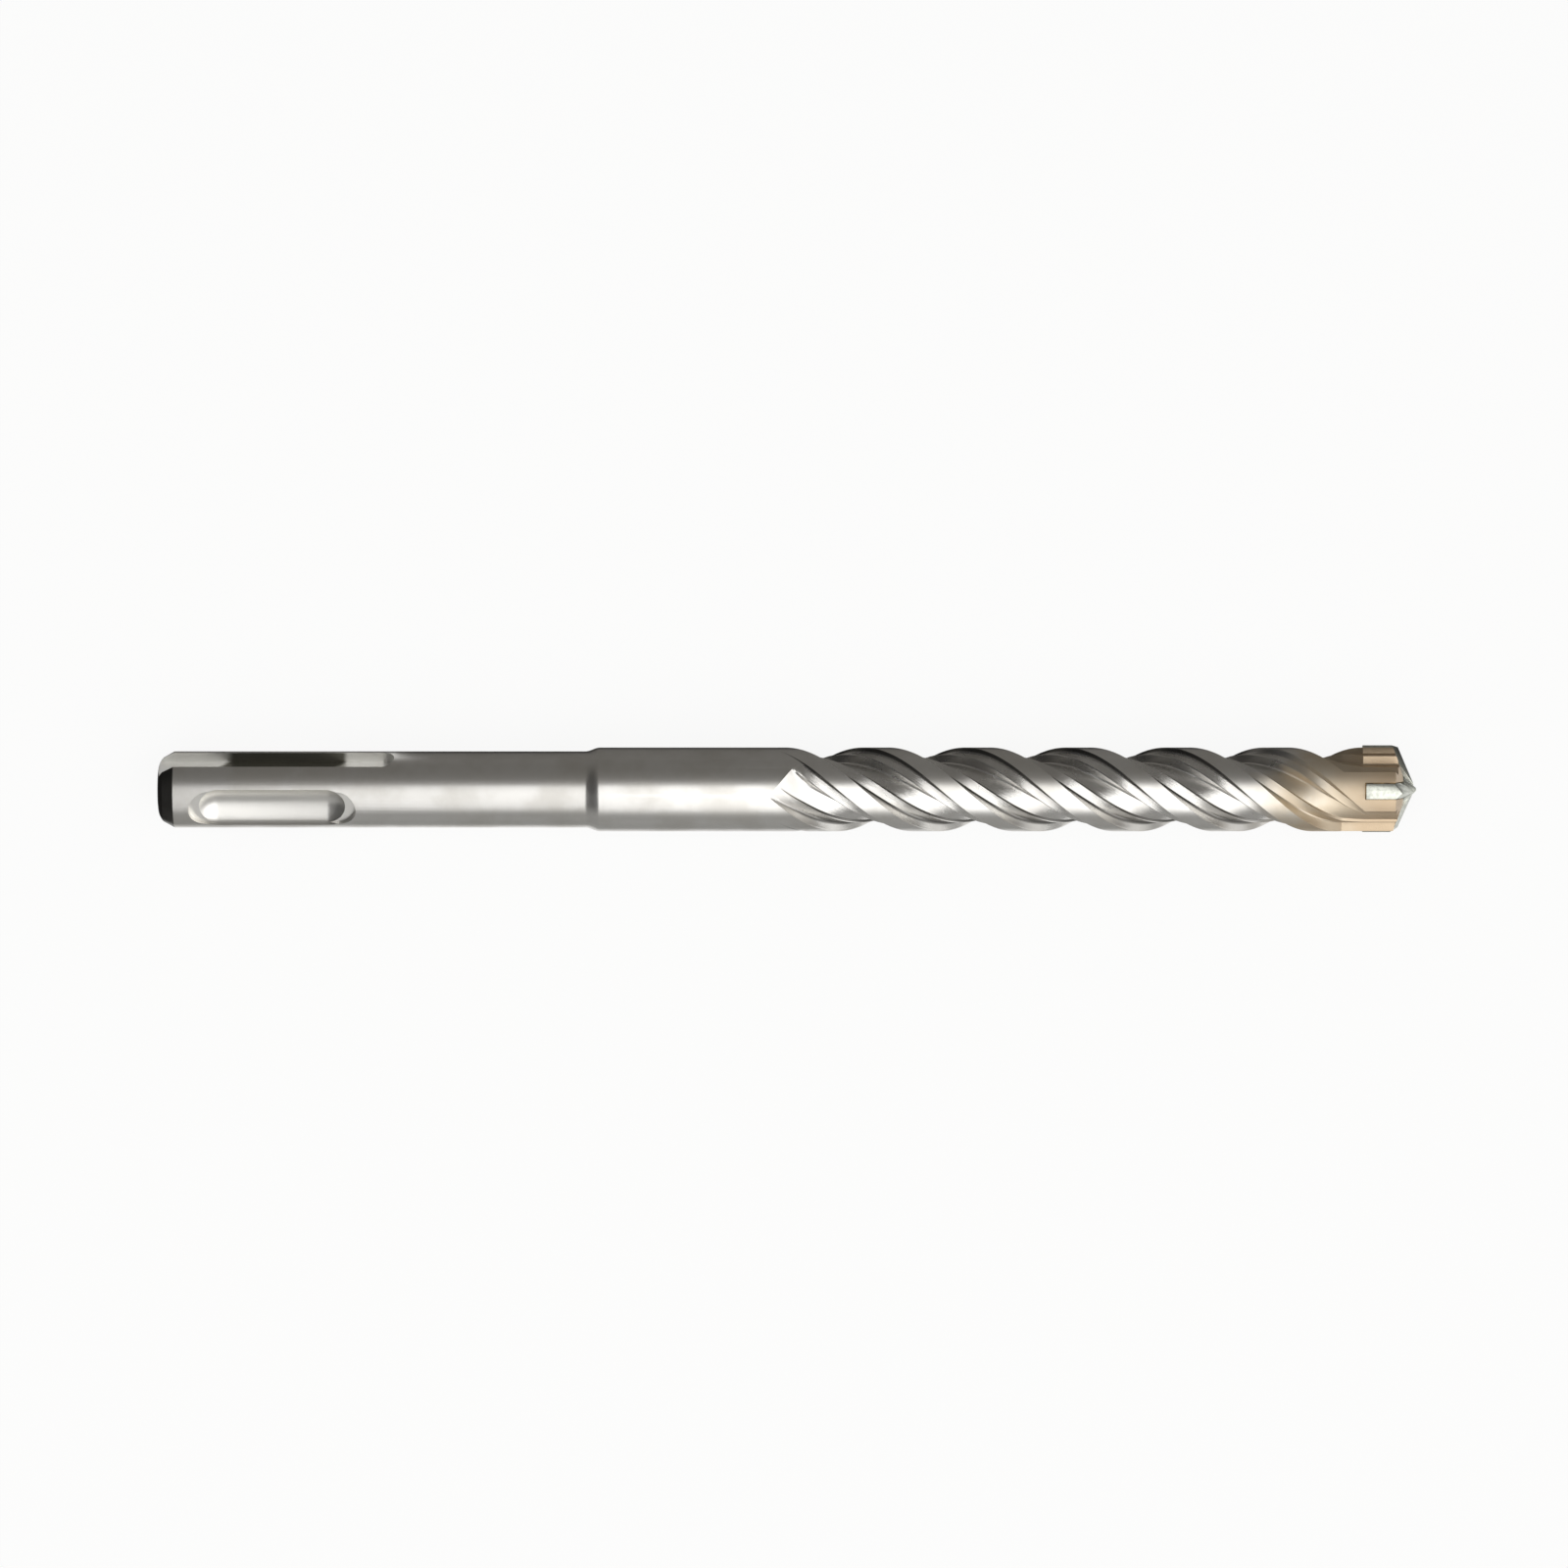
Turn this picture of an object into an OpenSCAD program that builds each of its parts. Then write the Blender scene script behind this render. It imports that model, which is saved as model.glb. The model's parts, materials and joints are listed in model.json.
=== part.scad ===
// Hammer drill bit with a slotted quick-fit shank, three helical flutes and
// a three-winged carbide insert brazed into its steel head.
// The bit lies along +X, with its point at +X and +Z up. The origin is the
// centre of the striking face at the rear of the shank. Lengths are in mm.
// Angles about the axis run from +Y towards +Z.

/* [Overall] */
// Length from the striking face to the point
overall_l = 165; // [155:1:260]

/* [Shank] */
// Diameter of the shank
shank_d = 10; // [9.6:0.1:10.6]
// Length from the striking face to the foot of the collar
shank_l = 56; // [50:0.2:65]
// Diameter of the flat striking face
strike_d = 5.2; // [3:0.1:6]
// Diameter of the rim between the crowned end and the lead-in
rim_d = 8.4; // [7.6:0.1:9]
// Radius of the crown round the striking face
crown_r = 2.3; // [2.3:0.1:6]
// Length of the lead-in cone behind the rim
lead_in_l = 1.45; // [0.6:0.05:3]

/* [Drive slots] */
// Width of each open drive slot
slot_w = 3.3; // [2.6:0.1:4]
// Length of each drive slot from the striking face
slot_l = 31; // [24:0.5:40]
// Distance between the floors of the two drive slots
slot_floor_d = 6.6; // [6.2:0.1:8]
// Angle of the first drive slot about the axis
slot_angle = 34.5; // [0:0.5:180]

/* [Locking grooves] */
// Distance from the striking face to the near end of each closed groove
groove_start = 4.1; // [3:0.1:6]
// Overall length of each closed groove
groove_l = 21.9; // [14:0.1:26]
// Distance between the flat ledges at the ends of the two grooves
groove_ledge_d = 7.8; // [7.2:0.1:8.4]
// Length of the ledge between each end of a groove and its round trough
groove_ledge_l = 1.4; // [0.6:0.1:3]
// Diameter of the round trough that takes the locking ball
groove_trough_d = 7; // [6:0.1:8]
// Metal left between the floors of the two troughs
groove_web = 5.6; // [4.8:0.1:6.4]

/* [Body] */
// How much thinner the plain body and the lands are than the cutting diameter
body_relief = 1.2; // [0.6:0.1:2]
// Length of the collar that steps up from shank to body
collar_l = 1.9; // [0.8:0.1:4]
// Distance from the striking face to the start of the flutes
flute_start = 80; // [70:0.5:100]

/* [Flutes] */
// Number of flutes, lands and insert wings
flute_n = 3; // [2:1:4]
// Lead of the helix where the flutes start
lead_start = 40.8; // [30:0.2:60]
// Lead of the helix behind the head
lead_end = 38.2; // [28:0.2:60]
// Angle of the first land's rear edge where the flutes start
heel_angle = 100.4; // [0:0.2:180]
// Angular width of each land
land_w = 29.5; // [20:0.5:40]
// Diameter across the deepest part of the flutes
core_d = 6.8; // [5.6:0.1:8]
// Diameter across the floor of the narrow groove in each flute
narrow_d = 8.4; // [7.8:0.1:8.8]
// How far the ridge between the two grooves stands above that floor
ridge_h = 0.15; // [0.05:0.05:0.3]
// Diameter at the terrace between the wide groove and the next land
terrace_d = 9.3; // [8.6:0.1:9.8]
// Length over which a flute deepens from nothing to full depth
runout_l = 4.4; // [3:0.2:15]
// How far behind its near side the far side of a flute starts
runout_skew = 4.2; // [0:0.2:8]

/* [Head] */
// Length of the head, where the flutes run straight
head_l = 7; // [6.6:0.1:12]
// Distance from the point at which the heel of each land turns straight
heel_straight_l = 9.8; // [9:0.1:12]
// How far the steel nose lies behind the cutting edges
nose_setback = 1; // [0.6:0.1:2]

/* [Carbide insert] */
// Cutting diameter over the wings
cutting_d = 12.2; // [11.8:0.1:15]
// Thickness of each wing
wing_t = 2; // [1.4:0.1:2.6]
// Length of the insert from its seat to the point
insert_l = 6.9; // [6:0.1:10]
// Angle by which each wing sits behind the middle of its lobe
wing_lag = 1; // [0:0.5:6]
// Radius of the hub where the wings meet
hub_r = 1.6; // [1.5:0.05:2]
// Slope of the cutting edges, measured from a plane across the bit
edge_slope = 19; // [15:0.5:30]
// Distance from the point to where the edge lines would meet
edge_back = 0.1; // [0.05:0.05:1]
// Distance of the cutting edge from the leading face of its wing
edge_in = 0.7; // [0.3:0.05:1]
// Relief angle behind each cutting edge
relief_angle = 38; // [10:1:45]
// Bevel angle in front of each cutting edge
rake_angle = 50; // [15:1:60]
// Length of the cone that forms the centring point
pilot_l = 0.75; // [0.5:0.05:1.2]
// Radius of the foot of that cone
pilot_r = 0.9; // [0.6:0.05:1.2]
// Radius of the small flat left on the centring point
pilot_flat_r = 0.2; // [0.1:0.05:0.4]

/* [Braze] */
// Thickness of the braze between insert and steel
braze_t = 0.12; // [0.05:0.01:0.2]
// How far the braze stays below the surface of the steel
braze_sunk = 0.15; // [0.1:0.05:0.4]

/* [Hidden] */

$fn = 96;
over = 1;           // how far a cutter runs past what it cuts
land_gap = 0.02;    // how much the milled lands lie under the plain body
arc_steps = 6;      // straight pieces in each small rounding
land_steps = 6;     // straight pieces across each land
ring_step = 1.2;    // distance between the sections of the helix
nose_steps = 6;     // sections over the steel nose
nose_end_r = 2;     // radius at which the steel nose ends, inside the hub's slot
ledge_inset = 0.03; // how far the sides of a ledge's cutter stay inside the trough

shank_r = shank_d / 2;
cutting_r = cutting_d / 2;
body_r = cutting_r - body_relief / 2;
land_r = body_r - land_gap;

pitch_a = 360 / flute_n;             // angle from one flute to the next
flute_w = pitch_a - land_w;          // angular width of one flute
helix_end = overall_l - head_l;      // where the helix stops
helix_l = helix_end - flute_start;
heel_x = overall_l - heel_straight_l;
rate_start = 360 / lead_start;       // degrees of twist per mm
rate_end = 360 / lead_end;

seat_x = overall_l - insert_l;       // rear face of the insert
edge_x = overall_l - edge_back;      // where the cutting edges would meet
nose_x = edge_x - nose_setback;      // where the nose cone would come to a point
nose_from = nose_x - land_r * tan(edge_slope);
nose_end = nose_x - nose_end_r * tan(edge_slope);

ledge_r = groove_ledge_d / 2;
trough_r = groove_trough_d / 2;
trough_y = groove_web / 2 + trough_r;    // distance of a trough's axis from the bit's
trough_half_w = sqrt(trough_r * trough_r - pow(trough_y - ledge_r, 2));
ledge_half_w = trough_half_w - ledge_inset;

// Twist of the flutes at x, in degrees
function twist_at(x) =
    let (u = min(max(x - flute_start, 0), helix_l))
    rate_start * u + (rate_end - rate_start) * u * u / (2 * helix_l);

// Extra angular width of each land at x, where its heel already runs straight
function cheek_at(x) = twist_at(x) - twist_at(min(x, heel_x));

// A value that grows smoothly from 0 to 1 as t does
function ease(t) = t * t * (3 - 2 * t);

// Points from p to q, each [share of the flute's width, radius], bowed in by sag
function bowed(p, q, sag, n) = [
    for (i = [0:n])
        let (t = i / n)
        [p[0] + (q[0] - p[0]) * t, p[1] + (q[1] - p[1]) * t - 4 * sag * t * (1 - t)]
];

// One flute and the land beyond it, as pairs of place and radius. A place from 0 to 1
// is a share of the flute's width, and from 1 to 2 a share of the land's. Behind the
// land's sharp rear edge come a narrow groove, a step down into a wide groove that
// deepens as far as a steep wall, and a terrace from which the next land rises.
narrow_at = 0.07;       // place where the narrow groove's floor starts
ridge_at = 0.28;        // place of the ridge between the two grooves
valley_at = 0.69;       // place of the deepest line of the wide groove
terrace_at = 0.785;     // place where the terrace starts
rise_at = 0.955;        // place where the next land starts to rise
step_h = 0.32;          // height of the step from the ridge into the wide groove
terrace_rise = 0.08;    // how much the terrace rises towards the land
narrow_r = narrow_d / 2;
ridge_r = narrow_r + ridge_h;
core_r = core_d / 2;
terrace_r = terrace_d / 2;
rear_wall = [[0, land_r], [0.022, narrow_r + 0.5], [0.045, narrow_r + 0.14]];
narrow_groove = bowed([narrow_at, narrow_r], [ridge_at, ridge_r], 0.03, 3);
wide_groove = bowed([ridge_at + 0.025, ridge_r - step_h], [valley_at, core_r], 0.08, 4);
steep_wall = [[valley_at + 0.04, core_r + 0.15], [terrace_at - 0.02, terrace_r - 0.12]];
terrace = bowed([terrace_at, terrace_r], [rise_at, terrace_r + terrace_rise], 0.04, 2);
land_rise = [[rise_at + 0.03, land_r - 0.16], [1, land_r]];
land_top = [for (i = [1:land_steps - 1]) [1 + i / land_steps, land_r]];
section = concat(rear_wall, narrow_groove, wide_groove, steep_wall, terrace, land_rise, land_top);

// Angle from the rear edge of the land back to a place on the section, at x
function section_angle(place, x) =
    let (cheek = cheek_at(x))
    place <= 1
        ? cheek + place * (flute_w - cheek)
        : flute_w + (place - 1) * (land_w + cheek);

// How deep the flutes are at a distance from their start, from 0 to 1
function depth_at(s) =
    let (t = min(max(s / runout_l, 0), 1))
    1 - (1 - t) * (1 - t);

// Where a place on the section lies in the ring at s. The flutes start on a slant, so
// the rings slant too, and straighten towards the head.
function place_x(place, s) =
    let (slant = place <= 1 ? place : 2 - place)
    flute_start + s + runout_skew * slant * max(1 - s / helix_l, 0);

function section_radius(p, s, x) =
    min(land_r - (land_r - p[1]) * depth_at(s), (nose_x - x) / tan(edge_slope));

function section_ring(s) = [
    for (k = [0:flute_n - 1], p = section)
        let (x = place_x(p[0], max(s, 0)))
        let (a = heel_angle + twist_at(x) - section_angle(p[0], x) - k * pitch_a)
        let (r = section_radius(p, s, x))
        [s < 0 ? flute_start + s : x, r * cos(a), r * sin(a)]
];

helix_rings = ceil(helix_l / ring_step);
nose_l = nose_end - nose_from;
ring_places = concat(
    [-over],
    [for (i = [0:helix_rings]) helix_l * i / helix_rings],
    [for (i = [0:nose_steps]) nose_from - flute_start + nose_l * i / nose_steps]
);

// Bar with the flutes milled in, from just before they start to the steel nose
module fluted_bar() {
    n = flute_n * len(section);
    last = len(ring_places) - 1;
    points = [for (s = ring_places) each section_ring(s)];
    sides = [
        for (i = [0:last - 1], j = [0:n - 1])
            let (a = i * n + j)
            let (b = i * n + (j + 1) % n)
            each [[a, b, a + n], [b, b + n, a + n]]
    ];
    rear_cap = [for (j = [n - 1:-1:0]) j];
    front_cap = [for (j = [0:n - 1]) last * n + j];
    polyhedron(points, concat(sides, [rear_cap, front_cap]), convexity = 10);
}

// Turned outline of shank, collar and plain body, as [radius, x]
crown_w = (rim_d - strike_d) / 2;
crown_arc_r = max(crown_r, crown_w);    // at most a quarter of a circle fits
crown_points = [
    for (i = [0:arc_steps])
        let (out = crown_w * i / arc_steps)
        [strike_d / 2 + out, crown_arc_r - sqrt(crown_arc_r * crown_arc_r - out * out)]
];
rim_x = crown_points[arc_steps][1];
collar_points = [
    for (i = [0:arc_steps])
        let (t = i / arc_steps)
        [shank_r + (body_r - shank_r) * ease(t), shank_l + collar_l * t]
];

module turned_bar() {
    rotate([0, 90, 0])
        rotate_extrude()
            polygon(concat(
                [[0, 0]],
                crown_points,
                [[shank_r, rim_x + lead_in_l]],
                collar_points,
                [[body_r, flute_start], [0, flute_start]]
            ));
}

// Open slot that turns the bit: a milled channel with a round end
module drive_slot(angle) {
    floor_r = slot_floor_d / 2;
    end_x = slot_l - slot_w / 2;
    rotate([angle, 0, 0]) {
        translate([-over, floor_r, -slot_w / 2])
            cube([end_x + over, shank_r, slot_w]);
        translate([end_x, floor_r, 0])
            rotate([-90, 0, 0])
                cylinder(h = shank_r, d = slot_w);
    }
}

// Outline with round ends, from x = start over a length
module round_ended(start, length, half_w) {
    for (x = [start + half_w, start + length - half_w])
        translate([x, 0])
            circle(r = half_w);
    translate([start + half_w, -half_w])
        square([length - 2 * half_w, 2 * half_w]);
}

// Closed groove for a locking ball: a round trough with a flat ledge at each end
module locking_groove(angle) {
    first_x = groove_start + groove_ledge_l + trough_half_w;
    last_x = groove_start + groove_l - groove_ledge_l - trough_half_w;
    rotate([angle, 0, 0]) {
        translate([0, ledge_r, 0])
            rotate([-90, 0, 0])
                linear_extrude(height = shank_r)
                    round_ended(groove_start, groove_l, ledge_half_w);
        translate([first_x, trough_y, 0])
            rotate([0, 90, 0])
                cylinder(h = last_x - first_x, r = trough_r);
        for (x = [first_x, last_x])
            translate([x, trough_y, 0])
                sphere(r = trough_r);
    }
}

// Angle of the first wing: a little behind the middle of its lobe
lobe_w = land_w + cheek_at(helix_end);
lobe_heel = heel_angle + twist_at(helix_end) - cheek_at(helix_end);
wing_angle = lobe_heel + lobe_w / 2 - wing_lag;

// Wings of constant thickness, grown by a gap on every side
module wing_prism(radius, gap, end_x) {
    translate([seat_x - gap, 0, 0])
        rotate([0, 90, 0])
            linear_extrude(height = end_x - seat_x + gap)
                rotate(90 + wing_angle)
                    for (k = [0:flute_n - 1])
                        rotate(k * pitch_a)
                            translate([0, -wing_t / 2 - gap])
                                square([radius, wing_t + 2 * gap]);
}

// The same wings round their hub: the slot in the steel, or what lies in it
module winged_slot(radius, gap, end_x) {
    wing_prism(radius, gap, end_x);
    translate([seat_x - gap, 0, 0])
        rotate([0, 90, 0])
            cylinder(h = end_x - seat_x + gap, r = hub_r + gap);
}

// Space in front of one face of a wing's roof, which tilts about the cutting edge
module roof_cut(tilt) {
    translate([edge_x, 0, wing_t / 2 - edge_in])
        rotate([0, 0, edge_slope])
            rotate([0, tilt, 0])
                translate([0, 0, -2 * wing_t])
                    cube([cutting_r, 2 * cutting_r, 4 * wing_t]);
}

module insert_hub() {
    rotate([0, 90, 0])
        rotate_extrude()
            polygon([
                [0, seat_x],
                [hub_r, seat_x],
                [hub_r, nose_x - hub_r * tan(edge_slope)],
                [pilot_r, overall_l - pilot_l],
                [pilot_flat_r, overall_l],
                [0, overall_l]
            ]);
}

module steel_body() {
    color([0.62, 0.61, 0.59])
        difference() {
            union() {
                turned_bar();
                fluted_bar();
            }
            for (side = [0, 180]) {
                drive_slot(slot_angle + side);
                locking_groove(slot_angle + 90 + side);
            }
            winged_slot(cutting_r + over, braze_t, overall_l);
        }
}

module carbide_insert() {
    color([0.66, 0.68, 0.62])
        union() {
            difference() {
                intersection() {
                    wing_prism(cutting_r + over, 0, overall_l);
                    translate([seat_x - over, 0, 0])
                        rotate([0, 90, 0])
                            cylinder(h = insert_l + 2 * over, r = cutting_r);
                }
                for (k = [0:flute_n - 1])
                    rotate([wing_angle + k * pitch_a, 0, 0]) {
                        roof_cut(-rake_angle);
                        roof_cut(relief_angle);
                    }
            }
            insert_hub();
        }
}

module braze_filler() {
    fill_r = land_r - braze_sunk;
    color([0.78, 0.66, 0.42])
        difference() {
            winged_slot(fill_r, braze_t, nose_x - fill_r * tan(edge_slope) - braze_sunk);
            winged_slot(cutting_r + over, 0, overall_l);
        }
}

steel_body();
carbide_insert();
braze_filler();
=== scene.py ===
# %% [markdown]
# # A hammer drill bit, built on its measured solids
# The bit is three pieces: a steel body, a carbide insert with three wings, and the
# braze that holds one in the other. The solids give every place and size in metres.
# They are loaded first, and their box is kept, because the finished pieces must not
# outgrow it.

# %% Load the measured solids
import json
import math

import bmesh
import bpy
from mathutils import Matrix, Vector

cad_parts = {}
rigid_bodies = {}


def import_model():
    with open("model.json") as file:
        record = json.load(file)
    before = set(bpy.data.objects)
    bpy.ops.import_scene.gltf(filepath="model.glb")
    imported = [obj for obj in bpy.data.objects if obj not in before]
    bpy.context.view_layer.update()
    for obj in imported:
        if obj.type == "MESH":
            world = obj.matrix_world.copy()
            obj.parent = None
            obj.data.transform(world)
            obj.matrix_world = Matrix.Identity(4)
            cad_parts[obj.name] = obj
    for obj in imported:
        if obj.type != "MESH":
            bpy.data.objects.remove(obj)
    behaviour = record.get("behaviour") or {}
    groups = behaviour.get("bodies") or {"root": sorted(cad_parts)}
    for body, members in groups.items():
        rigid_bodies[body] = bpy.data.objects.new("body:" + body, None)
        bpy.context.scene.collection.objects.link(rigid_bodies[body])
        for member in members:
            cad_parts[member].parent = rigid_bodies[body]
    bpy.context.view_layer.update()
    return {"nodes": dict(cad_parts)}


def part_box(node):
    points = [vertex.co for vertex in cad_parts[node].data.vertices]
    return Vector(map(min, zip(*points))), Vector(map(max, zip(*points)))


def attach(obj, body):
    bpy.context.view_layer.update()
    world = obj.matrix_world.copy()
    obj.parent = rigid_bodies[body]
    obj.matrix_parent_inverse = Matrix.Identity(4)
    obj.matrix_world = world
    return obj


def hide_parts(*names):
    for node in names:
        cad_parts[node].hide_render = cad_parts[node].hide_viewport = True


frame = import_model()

print("solids:", sorted(frame["nodes"]))

# %% [markdown]
# ## Sizes
# A maker thinks of this bit in millimetres, so the sizes below are written that way
# and turned into metres by one factor. The length comes from the solids. The flutes
# are cut into the front part of the bar, and each flute is two grooves side by side:
# a narrow one behind the sharp rear edge of the land, and a wide one that carries the
# dust and ends at a terrace below the next land.

# %% Sizes of the bar and its flutes
MM = 0.001
STEEL_FROM, STEEL_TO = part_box("steel_body")
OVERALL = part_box("carbide_insert")[1][0] / MM

CUTTING_R = 6.1
BODY_RELIEF = 1.2
BODY_R = CUTTING_R - BODY_RELIEF / 2
SHANK_R = 5.0
STRIKE_R = 2.6
RIM_R = 4.2
CROWN_R = 2.3
LEAD_IN = 1.45
SHANK_L = 56.0
COLLAR_L = 1.9

FLUTES = 3
FLUTE_START = 80.0
HELIX_END = OVERALL - 7.0
HELIX_L = HELIX_END - FLUTE_START
HEEL_X = OVERALL - 9.8
LEAD_START = 40.8
LEAD_END = 38.2
HEEL_ANGLE = 100.4
LAND_W = 29.5
FLUTE_W = 360 / FLUTES - LAND_W
CORE_R = 3.4
NARROW_R = 4.2
RIDGE_R = NARROW_R + 0.15
TERRACE_R = 4.65
RUNOUT_L = 4.4
RUNOUT_SKEW = 4.2
EDGE_SLOPE = 19.0
NOSE_X = OVERALL - 1.1
NOSE_END_R = 2.0
print("overall length in mm:", round(OVERALL, 2), "width of one flute:", FLUTE_W)

# %% [markdown]
# ## The section of the flutes
# A real flute is milled by a shaped wheel that follows a helix, so every section of the
# bar looks alike and only turns. The section is written once, as pairs of place and
# radius. A place from 0 to 1 runs across the flute, and from 1 to 2 across the land.
# Two helpers give the turn of the helix and the depth of the flute where it runs out.

# %% Section, turn and depth of the flutes
def bowed(start, end, sag, steps):
    """Points on a shallow bow from start to end."""
    points = []
    for i in range(steps + 1):
        t = i / steps
        radius = start[1] + (end[1] - start[1]) * t - 4 * sag * t * (1 - t)
        points.append((start[0] + (end[0] - start[0]) * t, radius))
    return points


rear_wall = [(0, BODY_R), (0.022, NARROW_R + 0.5), (0.045, NARROW_R + 0.14)]
narrow_groove = bowed((0.07, NARROW_R), (0.28, RIDGE_R), 0.03, 7)
wide_groove = bowed((0.305, RIDGE_R - 0.32), (0.69, CORE_R), 0.08, 10)
steep_wall = [(0.73, CORE_R + 0.15), (0.765, TERRACE_R - 0.12)]
terrace = bowed((0.785, TERRACE_R), (0.955, TERRACE_R + 0.08), 0.04, 5)
land_rise = [(0.985, BODY_R - 0.16), (1, BODY_R)]
land_top = [(1 + i / 12, BODY_R) for i in range(1, 12)]
section = rear_wall + narrow_groove + wide_groove + steep_wall + terrace + land_rise + land_top
RING = FLUTES * len(section)


def twist_at(x):
    """Turn of the helix at x, in degrees."""
    u = min(max(x - FLUTE_START, 0), HELIX_L)
    first, last = 360 / LEAD_START, 360 / LEAD_END
    return first * u + (last - first) * u * u / (2 * HELIX_L)


def depth_at(s):
    """Depth of the flutes at a distance from their start, from 0 to 1."""
    t = min(max(s / RUNOUT_L, 0), 1)
    return 1 - (1 - t) ** 2


def place_x(place, s):
    """Where a place lies in the ring at s, whose slant fades out towards the head."""
    slant = place if place <= 1 else 2 - place
    return FLUTE_START + s + RUNOUT_SKEW * slant * max(1 - s / HELIX_L, 0)


def ring_point(index, s, outer):
    """Place of one point of the ring at s, where outer is the turned radius."""
    flute, step = divmod(index, len(section))
    place, radius = section[step]
    x = place_x(place, max(s, 0))
    cheek = twist_at(x) - twist_at(min(x, HEEL_X))
    if place <= 1:
        back = cheek + place * (FLUTE_W - cheek)
    else:
        back = FLUTE_W + (place - 1) * (LAND_W + cheek)
    angle = math.radians(HEEL_ANGLE + twist_at(x) - back - flute * 360 / FLUTES)
    if s < 0:
        return Vector((FLUTE_START + s, outer * math.cos(angle), outer * math.sin(angle))) * MM
    r = min(BODY_R - (BODY_R - radius) * depth_at(s),
            (NOSE_X - x) / math.tan(math.radians(EDGE_SLOPE)))
    return Vector((x, r * math.cos(angle), r * math.sin(angle))) * MM


print("points round the bar:", RING)

# %% [markdown]
# ## The steel bar
# The bar is one loop of points, extruded forwards ring by ring from the striking face
# to the nose. Where the bar is only turned, the loop is a circle. Where it is fluted,
# each point moves to its place on the section. A loop that is extruded keeps its point
# numbers in a layer, so every ring knows which point is which. A screw modifier could
# make the helix too, but not the run-out or the straight flutes in the head.

# %% Rings from the striking face to the nose
def turned_rings():
    """The turned outline behind the flutes, as pairs of x and radius."""
    rings = []
    for i in range(9):
        radius = STRIKE_R + (RIM_R - STRIKE_R) * i / 8
        rings.append((CROWN_R - math.sqrt(CROWN_R ** 2 - (radius - STRIKE_R) ** 2), radius))
    rim_x = rings[-1][0]
    rings.append((rim_x + LEAD_IN, SHANK_R))
    for i in range(13):
        t = i / 12
        rings.append((SHANK_L + COLLAR_L * t, SHANK_R + (BODY_R - SHANK_R) * t * t * (3 - 2 * t)))
    return rings


def fluted_rings():
    """Distances of the rings from the start of the flutes, close together at first."""
    places = [RUNOUT_L * i / 24 for i in range(24)]
    places += [RUNOUT_L + (HELIX_L - RUNOUT_L) * i / 240 for i in range(241)]
    nose_from = NOSE_X - BODY_R * math.tan(math.radians(EDGE_SLOPE)) - FLUTE_START
    nose_l = (BODY_R - NOSE_END_R) * math.tan(math.radians(EDGE_SLOPE))
    return places + [nose_from + nose_l * i / 14 for i in range(15)]


rings = [(x - FLUTE_START, radius) for x, radius in turned_rings()]
rings += [(s, BODY_R) for s in fluted_rings()]
print("rings:", len(rings))


# %% Extrude the loop along the rings
def fluted_bar():
    """The bar as one closed mesh, before its slots are cut."""
    bar = bmesh.new()
    bmesh.ops.create_circle(bar, segments=RING, radius=STRIKE_R * MM)
    number = bar.verts.layers.int.new("number")
    bar.verts.ensure_lookup_table()
    for index, vert in enumerate(bar.verts):
        vert[number] = index
    loop = list(bar.edges)
    bmesh.ops.contextual_create(bar, geom=loop)
    for vert in bar.verts:
        vert.co = ring_point(vert[number], *rings[0])
    for s, outer in rings[1:]:
        made = bmesh.ops.extrude_edge_only(bar, edges=loop)["geom"]
        for vert in made:
            if isinstance(vert, bmesh.types.BMVert):
                vert.co = ring_point(vert[number], s, outer)
        loop = [edge for edge in made if isinstance(edge, bmesh.types.BMEdge)
                and edge.is_boundary]
    bmesh.ops.contextual_create(bar, geom=loop)
    bmesh.ops.recalc_face_normals(bar, faces=bar.faces)
    return bar


bar = fluted_bar()
print("bar faces:", len(bar.faces), "closed:", all(edge.is_manifold for edge in bar.edges))

# %% [markdown]
# ## Slots in the steel
# Two open slots turn the bit, two closed grooves lock it in the chuck, and a slot in
# the head takes the insert. A miller cuts them all out of the bar, so here they are
# cutters too, taken away in one Boolean. A box and a drum make a slot with a round end.
# A closed groove is a round trough with a flat ledge at each end. A ball and a disc,
# each with its two halves pulled apart, have just the round ends that these need.

# %% Cutters for the open drive slots
SLOT_W, SLOT_L, SLOT_FLOOR_R, SLOT_ANGLE = 3.3, 31.0, 3.3, 34.5
cutter_box = bpy.data.collections.new("cutters")
bpy.context.scene.collection.children.link(cutter_box)


def about_axis(angle):
    """Turn about the bit's axis, from +Y towards +Z."""
    return Matrix.Rotation(math.radians(angle), 4, "X")


def keep_cutter(mesh_in_work, name, angle):
    """Turn a cutter about the axis and put it with the others."""
    bmesh.ops.transform(mesh_in_work, matrix=about_axis(angle), verts=mesh_in_work.verts)
    bmesh.ops.recalc_face_normals(mesh_in_work, faces=mesh_in_work.faces)
    mesh = bpy.data.meshes.new(name)
    mesh_in_work.to_mesh(mesh)
    mesh_in_work.free()
    cutter_box.objects.link(bpy.data.objects.new(name, mesh))


def drum(work, radius, height, matrix):
    """A closed cylinder added to the mesh in work."""
    bmesh.ops.create_cone(work, cap_ends=True, segments=96, radius1=radius * MM,
                          radius2=radius * MM, depth=height * MM, matrix=matrix)


def block(work, low, high):
    """A box between two corners, in mm, added to the mesh in work."""
    low, high = Vector(low) * MM, Vector(high) * MM
    size = Matrix.Diagonal((*(high - low), 1))
    bmesh.ops.create_cube(work, size=1, matrix=Matrix.Translation((low + high) / 2) @ size)


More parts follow.
